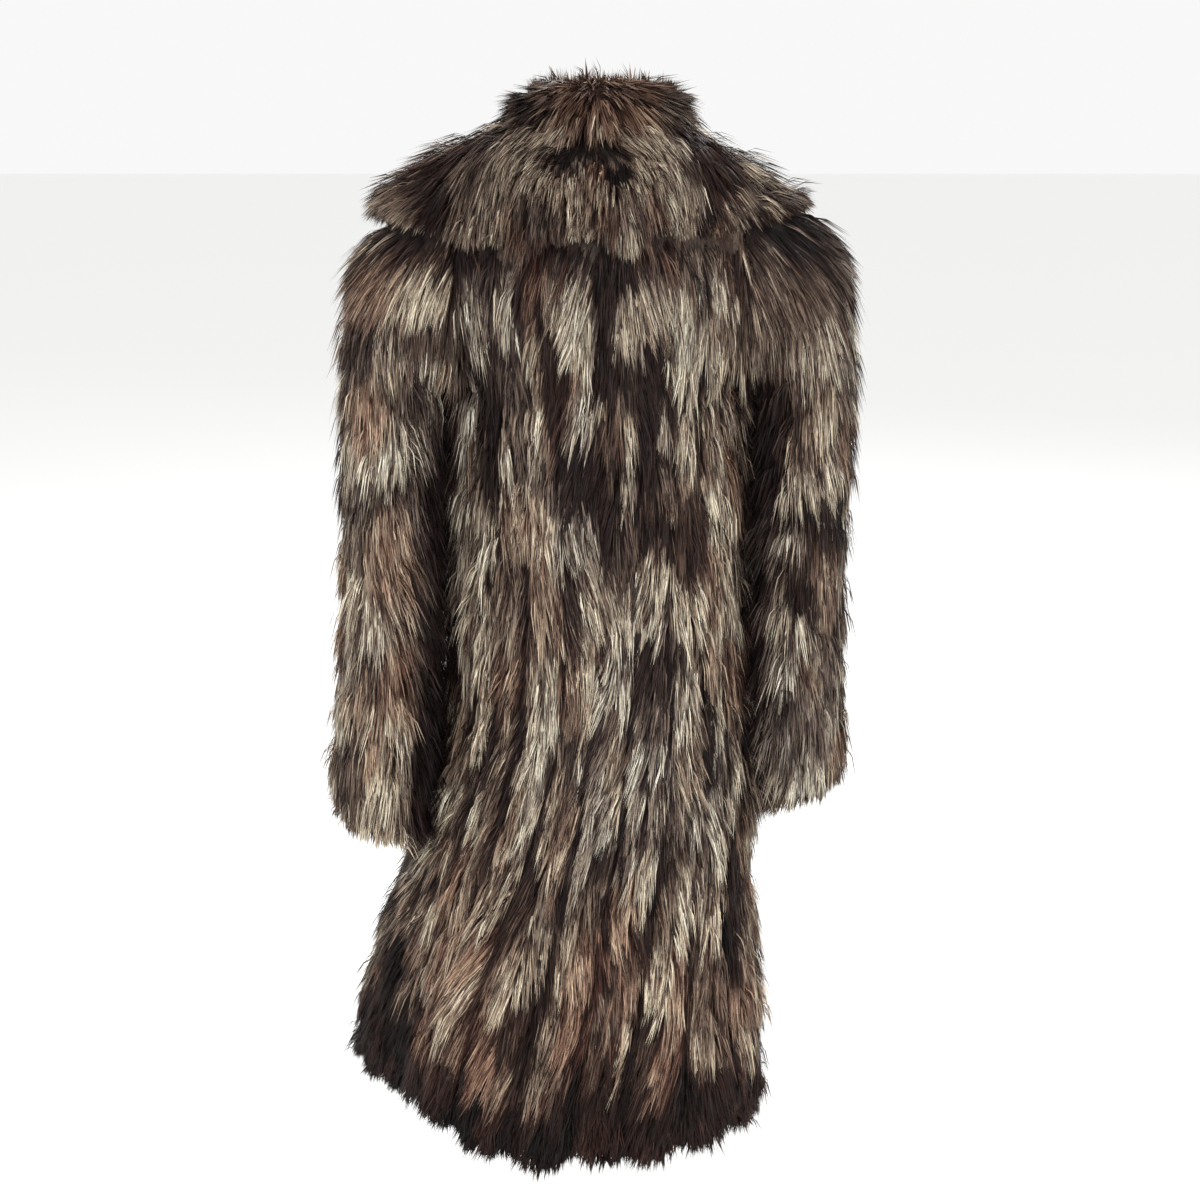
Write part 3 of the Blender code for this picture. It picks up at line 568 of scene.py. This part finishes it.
def hem_line(points, azimuth):
    """Height of the hem all round one panel, by azimuth; far down for a yoke."""
    low = points[:, 2] < HEM_ZONE
    if not low.any():
        return np.zeros(1), np.full(1, NO_HEM)
    bins = np.round(azimuth[low] / HEM_STEP).astype(int)
    line = {}
    for key, height in zip(bins, points[low, 2]):
        line[key] = min(line.get(key, 0.0), height)
    keys = sorted(line)
    return np.array(keys) * HEM_STEP, np.array([line[key] for key in keys])


def shut_away(points, faces, normals, cover, reach):
    """True for the triangles whose fur side lies under another piece."""
    centres = points[faces].mean(axis=1)
    return np.array(
        [
            cover.ray_cast(Vector(centre), Vector(normal), reach)[0] is not None
            for centre, normal in zip(centres, normals)
        ]
    )


def under_edge(place, cover, reach):
    """From 0 beside another piece to 1 where it is further away than the reach; it sets the painted
    shadow that piece casts.
    """
    found = [cover.find_nearest(Vector(point), reach)[3] for point in place]
    gap = np.array([reach if gap is None else gap for gap in found])
    return smooth(gap / reach)


collar_points, collar_faces = solid_of("collar")[:2]
COLLAR_FORM = BVHTree.FromPolygons(collar_points.tolist(), collar_faces.tolist())


def body_depth(where):
    """How far in a body panel's pelt lies under the tips of its fur."""
    lower = 0.05 * np.maximum(-where[:, 2] - 0.06, 0)
    return np.minimum(PELT_DEPTH, PRESSED_DEPTH + lower)


def dress_body(node, middle, seed, wisps, patches):
    """Pelt and hair of one body panel."""
    rng = np.random.default_rng(seed)
    points, faces, normals, area = solid_of(node)
    outer, inside = sides_of(points, faces, normals, middle)

    def tones(where):
        return lock_tones(body_azimuth(where) / BODY_STRIP, -where[:, 2], 5, BODY_LOCK, patches)

    pelt = make_pelt(
        node + "_pelt", node, (points, faces, normals, area, outer, inside), body_depth, tones
    )
    bare = outer & ~shut_away(points, faces, normals, COLLAR_FORM, UNDER_COLLAR)
    place, normal = scattered(rng, points, faces[bare], normals[bare], area[bare], wisps)
    hem_at, hem_z = hem_line(points, body_azimuth(points))
    centres = points[faces].mean(axis=1)
    above = centres[:, 2] - np.interp(body_azimuth(centres), hem_at, hem_z)
    lowest = bare & (above < FRINGE_HIGH)
    if lowest.any():
        more = int(wisps * FRINGE_SHARE)
        added = scattered(rng, points, faces[lowest], normals[lowest], area[lowest], more)
        place, normal = np.concatenate([place, added[0]]), np.concatenate([normal, added[1]])
    fringe = np.arange(len(place)) >= wisps
    wisps = len(place)
    azimuth = body_azimuth(place)
    across, down = azimuth / BODY_STRIP, -place[:, 2]
    light, warm, part, lean = tones(place)

    # hair is combed down the strips, leans with its lock and closes in towards the lock's end
    way = body_flow(place, azimuth)
    side = np.cross(way, normal)
    swirl = (cloud(across * 0.8, down * 7, 11) - 0.5) * 0.50 + lean * 0.34
    in_strip = across * 2 - np.floor(across * 2) - 0.5
    stray = (0.20 + 0.50 * fringe) * (rng.random(wisps) - 0.5)
    way = way + side * ((swirl - in_strip * 0.30 * part) * (1 - 0.6 * fringe) + stray)[:, None]
    way = laid_flat(way, normal)
    room = (place[:, 2] - np.interp(azimuth, hem_at, hem_z)) / np.maximum(-way[:, 2], 0.3)

    # painted shade in the grooves between the strips, over the dark roots that show where the hair
    # parts there, a dark rust band along the hem, shade under the arms
    groove = 1 - smooth(np.abs(across - np.round(across)) / 0.16)
    groove = groove * (0.30 + 0.65 * smooth((down - 0.38) / 0.2))
    # painted shadow, cast by the collar, on the hair just below its edge
    light = light * (1 - 0.85 * groove) * (0.35 + 0.65 * under_edge(place, COLLAR_FORM, 0.035))
    band = 1 - smooth((room - HEM_BAND - BAND_WANDER * cloud(across * 0.9, down, 9)) / 0.045)
    light = light * (1 - 0.84 * band)
    warm = warm * (1 - band) + 0.50 * band
    flank = 1 - smooth(np.abs(np.abs(azimuth) - FLANK_AT) / FLANK_HALF)
    flank = flank * smooth((down - ARMPIT) / 0.05) * (1 - smooth((down - FLANK_FOOT) / 0.06))
    light = light * (1 - 0.72 * flank)
    warm = warm * (1 - flank) - 0.6 * flank

    # the ends of the locks stand off, and hair stops a little past the hem
    length = 0.032 + 0.020 * rng.random(wisps) + 0.012 * part
    lift = -0.0045 + 0.0060 * rng.random(wisps) + 0.0045 * part - 0.002 * groove
    lift = lift + flank * (0.014 + 0.014 * rng.random(wisps)) + 0.004 * fringe
    lift = lift + guard_hairs(rng, wisps, 0.07, 0.004, 0.008)
    past = np.where(fringe, 0.004, -0.002) + 0.016 * rng.random(wisps)
    length = np.minimum(length, np.maximum(room, 0.004) + past)
    hair = make_hair(node + "_fur", rng, place, normal, way, length, lift, light, warm)
    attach(hair, "root")
    return pelt, hair


BACK_PATCHES = (
    # strips from the middle of the back, metres down, half width, half height, light, warm
    (0.45, 0.155, 0.42, 0.060, 1.05, -0.4),
    (-2.19, 0.165, 0.45, 0.050, 1.05, -0.4),
    (-0.74, 0.150, 0.35, 0.035, 0.82, -0.1),
    (-2.54, 0.289, 0.35, 0.030, 0.85, 0.0),
    (1.81, 0.377, 0.65, 0.045, 0.74, 0.5),
    (0.25, 0.500, 0.42, 0.085, 0.80, 0.1),
    (1.32, 0.652, 0.35, 0.090, 0.92, -0.3),
    (2.10, 0.886, 0.60, 0.060, 0.62, 0.8),
    (-0.93, 0.682, 0.22, 0.030, 1.00, 0.1),
    (0.20, 0.075, 1.60, 0.022, 0.12, 0.2),
    (1.10, 0.240, 0.45, 0.075, 0.13, 0.3),
    (-0.30, 0.300, 0.40, 0.060, 0.14, 0.2),
    (-2.60, 0.400, 0.60, 0.060, 0.13, 0.2),
    (3.36, 1.030, 0.80, 0.050, 0.12, 0.3),
)
yoke_pelt, yoke_fur = dress_body("yoke_back", heart, 20, 4200, BACK_PATCHES)
back_pelt, back_fur = dress_body("back", trunk, 21, 17800, BACK_PATCHES)


# ---------------------------------------------------------------- the fronts
# Two panels of six strips each, cut and sewn as the back is, each with its own yoke. They
# meet edge to edge down the middle, where long hair hides the opening.
for side, seed in (("left", 22), ("right", 24)):
    yoke_pelt, yoke_fur = dress_body("yoke_" + side, heart, seed, 1700, ())
    front_pelt, front_fur = dress_body("front_" + side, trunk, seed + 1, 10300, ())


# ---------------------------------------------------------------- the sleeves
# Each sleeve is a nearly straight tube of ten strips set into the armhole, its fur lying
# down the arm and reaching past the open cuff.
SLEEVE_MIDDLE = np.array(
    (
        # out from the middle of the coat, height
        (0.158, -0.124),
        (0.198, -0.142),
        (0.214, -0.157),
        (0.225, -0.176),
        (0.233, -0.202),
        (0.238, -0.234),
        (0.240, -0.320),
        (0.242, -0.500),
        (0.248, -0.680),
        (0.255, -0.760),
    )
)
SLEEVE_LEAN = {"left": 0.020, "right": -0.024}  # how far back the cuff hangs
SLEEVE_TONE = {"left": (0.16, 0.86), "right": (0.02, 0.84)}  # darkest shade and range
SLEEVE_WARM = {"left": 0.0, "right": -0.25}
SLEEVE_STRIPS = 10
SLEEVE_LOCK = 0.068
SLEEVE_DEPTH = 0.008  # how far under the tips of the fur its dense part starts


def dress_sleeve(side, seed, wisps, patches):
    """Pelt and hair of one sleeve."""
    rng = np.random.default_rng(seed)
    sign = 1.0 if side == "left" else -1.0
    node = "sleeve_" + side
    points, faces, normals, area = solid_of(node)
    shares = np.linspace(0, 1, 60)
    keys = np.linspace(0, 1, len(SLEEVE_MIDDLE))
    line = np.stack(
        [
            sign * np.interp(shares, keys, SLEEVE_MIDDLE[:, 0]),
            SLEEVE_LEAN[side] * shares**1.3,
            np.interp(shares, keys, SLEEVE_MIDDLE[:, 1]),
        ],
        axis=1,
    )

    def middle(where):
        gap = ((where[:, None] - line[None]) ** 2).sum(axis=2)
        return line[np.argmin(gap, axis=1)]

    def strips_at(where):
        off = where - middle(where)
        turn = np.arctan2(off[:, 1], off[:, 0] * sign)
        return turn / (2 * np.pi) * SLEEVE_STRIPS

    def tones(where):
        return lock_tones(strips_at(where), -where[:, 2], 31 + seed, SLEEVE_LOCK, patches)

    outer, inside = sides_of(points, faces, normals, middle)
    bare = outer & ~shut_away(points, faces, normals, COLLAR_FORM, UNDER_COLLAR)
    pelt = make_pelt(
        node + "_pelt", node, (points, faces, normals, area, outer, inside),
        lambda where: np.full(len(where), SLEEVE_DEPTH), tones,
    )
    place, normal = scattered(rng, points, faces[bare], normals[bare], area[bare], wisps)
    across, down = strips_at(place), -place[:, 2]
    light, warm, part, lean = tones(place)
    darkest, range_up = SLEEVE_TONE[side]
    light = darkest + range_up * light
    warm = warm + SLEEVE_WARM[side]

    # hair runs out over the shoulder, then down the arm
    way = np.tile([0.0, 0.0, -1.0], (wisps, 1))
    way[:, 0] = sign * 0.45 * (1 - smooth((down - 0.06) / 0.20))
    sideways = np.cross(way, normal)
    swirl = (cloud(across * 0.8, down * 7, seed) - 0.5) * 0.5 + lean * 0.3
    way = way + sideways * (swirl + 0.16 * (rng.random(wisps) - 0.5))[:, None]
    way = laid_flat(way, normal)

    # below the armpit, on the side that faces the body, hair stands off more and is in shade
    low_down = smooth((down - ARMPIT) / 0.05)
    inward = smooth((-normal[:, 0] * sign - 0.35) / 0.4) * low_down
    shaded = smooth((-normal[:, 0] * sign - 0.62) / 0.3) * low_down
    # painted shadow, cast by the collar, on the hair just below its edge, as on the body
    light = light * (1 - 0.75 * shaded) * (0.45 + 0.55 * under_edge(place, COLLAR_FORM, 0.03))
    warm = warm * (1 - shaded) - 0.7 * shaded
    length = 0.034 + 0.020 * rng.random(wisps) + 0.010 * part
    lift = -0.0045 + 0.0065 * rng.random(wisps) + 0.0045 * part
    lift = lift + inward * (0.013 + 0.012 * rng.random(wisps))
    lift = lift + guard_hairs(rng, wisps, 0.08, 0.004, 0.008)
    round_cuff = strips_at(points)
    cuff_at = np.arange(-4.0, 4.5, 0.5)
    cuff_z = [points[np.abs(round_cuff - at) < 0.6, 2].min() for at in cuff_at]
    room = (place[:, 2] - np.interp(across, cuff_at, cuff_z)) / np.maximum(-way[:, 2], 0.3)
    length = np.minimum(length, np.maximum(room, 0.004) - 0.003 + 0.014 * rng.random(wisps))
    hair = make_hair(node + "_fur", rng, place, normal, way, length, lift, light, warm)
    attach(hair, "root")


LEFT_PATCHES = (
    # strips round the sleeve, metres down, half width, half height, light, warm
    (1.60, 0.130, 0.60, 0.032, 0.40, 0.9),
    (2.00, 0.265, 0.70, 0.050, 0.50, 0.9),
    (2.60, 0.420, 0.60, 0.060, 0.42, 0.7),
    (2.90, 0.570, 0.50, 0.060, 0.34, 0.9),
)
RIGHT_PATCHES = (
    (2.50, 0.140, 1.00, 0.050, 0.46, 0.2),
    (2.00, 0.180, 0.30, 0.040, 0.74, 0.0),
    (3.75, 0.405, 1.20, 0.020, 1.00, -0.2),
    (3.20, 0.245, 0.60, 0.060, 0.14, 0.0),
)
dress_sleeve("left", 41, 13000, LEFT_PATCHES)
dress_sleeve("right", 42, 13000, RIGHT_PATCHES)


# ---------------------------------------------------------------- the collar
# A wide shawl collar, fur on both faces. It stands on the neckline, rolls over and falls on
# the shoulders; its long hair runs over the roll and out past the edge. On the nape the hair
# parts round a small hollow, painted dark as the shadow under the tuft above it.
COLLAR_STRIP = 14.0  # degrees round the neck
COLLAR_LOCK = 0.052
COLLAR_DEPTH = 0.009
ROLL_Z = 0.085
NECK_OUT = 0.07  # from the middle of the neck to where the collar starts to fall
CHEST = np.array([0.0, 0.0, -0.20])
WHORL = np.array([0.013, 0.020])  # middle of the hollow, across and up
WHORL_HALF = np.array([0.034, 0.018])
COLLAR_PATCHES = (
    # strips round the neck, metres down from the roll, half width, half height, light, warm
    (3.20, 0.066, 1.40, 0.026, 0.44, 0.0),
    (-3.60, 0.066, 1.00, 0.022, 0.34, 0.1),
    (3.50, 0.120, 1.50, 0.046, 0.66, -0.2),
    (2.10, 0.066, 0.55, 0.034, 0.86, -0.1),
    (-1.60, 0.062, 0.75, 0.030, 0.80, -0.1),
    (0.60, 0.160, 0.40, 0.016, 0.95, 0.1),
    (2.30, 0.140, 0.24, 0.034, 0.10, 0.1),
    (-2.80, 0.146, 0.35, 0.022, 0.95, 0.2),
    (-4.10, 0.110, 0.90, 0.040, 0.18, 0.2),
    (0.20, 0.023, 1.50, 0.017, 0.66, 1.0),
)
collar_rng = np.random.default_rng(51)
points, faces, normals, area = solid_of("collar")
under_points, under_faces = [], []
for node in ("yoke_back", "yoke_left", "yoke_right", "back", "sleeve_left", "sleeve_right"):
    its_points, its_faces = solid_of(node)[:2]
    under_faces += (its_faces + len(under_points)).tolist()
    under_points += its_points.tolist()
panels = BVHTree.FromPolygons(under_points, under_faces)
centres = points[faces].mean(axis=1)
outer = np.array(
    [
        panels.ray_cast(Vector(centre), Vector(normal), 0.016)[0] is None
        for centre, normal in zip(centres, normals)
    ]
)


def collar_turn(where):
    """Degrees round the neck and metres down from the roll."""
    azimuth = np.degrees(np.arctan2(where[:, 0], where[:, 1]))
    away = np.hypot(where[:, 0], where[:, 1])
    down = np.hypot(np.maximum(away - NECK_OUT, 0), np.maximum(ROLL_Z - where[:, 2], 0))
    return azimuth, down


def collar_tones(where):
    azimuth, down = collar_turn(where)
    return lock_tones(azimuth / COLLAR_STRIP, down, 61, COLLAR_LOCK, COLLAR_PATCHES)


def collar_depth(where):
    """How far in the roots are: more beside the neck, where the roll falls away."""
    beside = smooth((np.abs(where[:, 0]) - 0.035) / 0.04) * smooth((where[:, 2] - 0.03) / 0.04)
    return COLLAR_DEPTH + 0.006 * beside


collar_pelt = make_pelt(
    "collar_pelt", "collar", (points, faces, normals, area, outer, ~outer),
    collar_depth, collar_tones,
)


def collar_slope(where):
    """Degrees round the neck and degrees down, both seen from inside the chest."""
    off = where - CHEST
    flat = np.hypot(off[:, 0], off[:, 1])
    return np.degrees(np.arctan2(off[:, 0], off[:, 1])), np.degrees(np.arctan2(flat, off[:, 2]))


def whorl_place(where):
    """Across and down from the hollow's middle, in its own half sizes, and how far out."""
    across = (where[:, 0] - WHORL[0]) / WHORL_HALF[0]
    below = (WHORL[1] - where[:, 2]) / WHORL_HALF[1]
    return across, below, np.hypot(across, below)


EDGE_STEP = 6.0  # degrees round the neck
turn, slope = collar_slope(points)
edge_at = np.arange(-180, 181, EDGE_STEP)
edge_slope = np.array([slope[np.abs(turn - at) < EDGE_STEP].max(initial=40.0) for at in edge_at])
wisps = 15500
turned_under = -0.55  # faces that look down more than this lie on the shoulders and stay bare
bare = outer & (normals[:, 2] > turned_under)
place, normal = scattered(collar_rng, points, faces[bare], normals[bare], area[bare], wisps)
azimuth, down = collar_turn(place)
light, warm, _, lean = collar_tones(place)

# on the inner face hair runs up to the roll, on the outer face out and down from it
outward = unit(np.stack([place[:, 0], place[:, 1], 0 * place[:, 2]], axis=1))
inner_side = (normal * outward).sum(axis=1) < -0.2
way = outward * 0.55 - np.array([0.0, 0.0, 1.0])
way = np.where(inner_side[:, None], np.array([0.0, 0.0, 1.0]) - outward * 0.2, way)
sideways = np.cross(way, normal)
swirl = (cloud(azimuth / 20.0, down * 9, 71) - 0.5) * 0.6 + lean * 0.3
way = way + sideways * (swirl + 0.2 * (collar_rng.random(wisps) - 0.5))[:, None]

# over the hollow it parts to both sides, as water does round a stone
across, below, out = whorl_place(place)
behind = ~inner_side * (place[:, 1] > 0.0) * 1.0
bend = -2 * across * below / np.maximum(out, 1.0) ** 4 * WHORL_HALF[0] / WHORL_HALF[1]
way[:, 0] += behind * np.clip(bend, -1.3, 1.3) * smooth(0.6 - below)
way = laid_flat(way, normal)
near_whorl = behind * (1 - smooth((out - 1.6) / 1.2))

# rust on the roll over the nape, painted shadow in a dark arch with a tail under the tuft above,
# and pale hair round it
near_roll = smooth((place[:, 2] - 0.04) / 0.05)
nape = near_roll * (1 - smooth((np.abs(place[:, 0]) - 0.03) / 0.03))
light = light * 0.62 * (1 - 0.15 * (near_roll - nape))
light = light * (1 - 0.7 * nape) + 0.40 * 0.7 * nape
warm = warm * (1 - nape) + 0.9 * nape
across, below, out = whorl_place(place + way * 0.013)
arch = np.hypot(across * 0.9, below - 0.6 * across**2 + 0.25)
tail = np.hypot((across + 0.95) / 0.42, (below - 1.0) / 1.0)
hollow = behind * (1 - smooth((np.minimum(arch, tail) - 0.90) / 0.30))
ring = behind * smooth((out - 1.15) / 0.35) * (1 - smooth((out - 2.3) / 0.9))
ring = ring * (1 - smooth((-below - 0.9) / 0.8))
ring = ring * smooth(cloud(across * 1.2, below * 0.5, 77) / 0.45)
light = light * (1 - 0.75 * ring) + 0.62 * 0.75 * ring
light = light * (1 - hollow) + 0.03 * hollow
warm = warm * (1 - ring) * (1 - hollow)

# hair stops a little past the roll or the edge, with longer tufts in places along the back
length = 0.034 + 0.018 * collar_rng.random(wisps)
to_roll = np.maximum(ROLL_Z - place[:, 2], 0.0) + 0.006 + 0.010 * collar_rng.random(wisps)
turn, slope = collar_slope(place)
from_chest = np.linalg.norm(place - CHEST, axis=1)
room = np.radians(np.maximum(np.interp(turn, edge_at, edge_slope) - slope, 0.0)) * from_chest
on_back = 1 - smooth((np.abs(azimuth) - 35) / 25)
tuft = np.maximum(cloud(azimuth / 7.0, 0 * azimuth, 75) - 0.40, 0) * on_back
short = room - 0.004 + 0.014 * collar_rng.random(wisps) + 0.050 * tuft
length = np.where(inner_side, np.minimum(length, to_roll), np.minimum(length, short))
length = np.maximum(length * (1 - 0.40 * near_whorl), 0.010)
lift = -0.004 + 0.007 * collar_rng.random(wisps)
lift = lift + guard_hairs(collar_rng, wisps, 0.10, 0.005, 0.012)
lift = lift + near_roll * (0.002 + 0.006 * collar_rng.random(wisps))
lift = lift - 0.011 * (1 - smooth(room / 0.030)) * (1 - on_back) * ~inner_side

# beside the neck the roll falls away, so its hair is shorter and droops
deep = collar_depth(place)
beside = (deep - COLLAR_DEPTH) / 0.006
lift = lift - 0.016 * beside * ~inner_side
length = length * (1 - 0.30 * beside)
lift = lift - 0.008 * hollow + 0.006 * ring
collar_fur = make_hair(
    "collar_fur", collar_rng, place, normal, way, length, lift, light, warm,
    deep[:, None, None],
)
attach(collar_fur, "root")
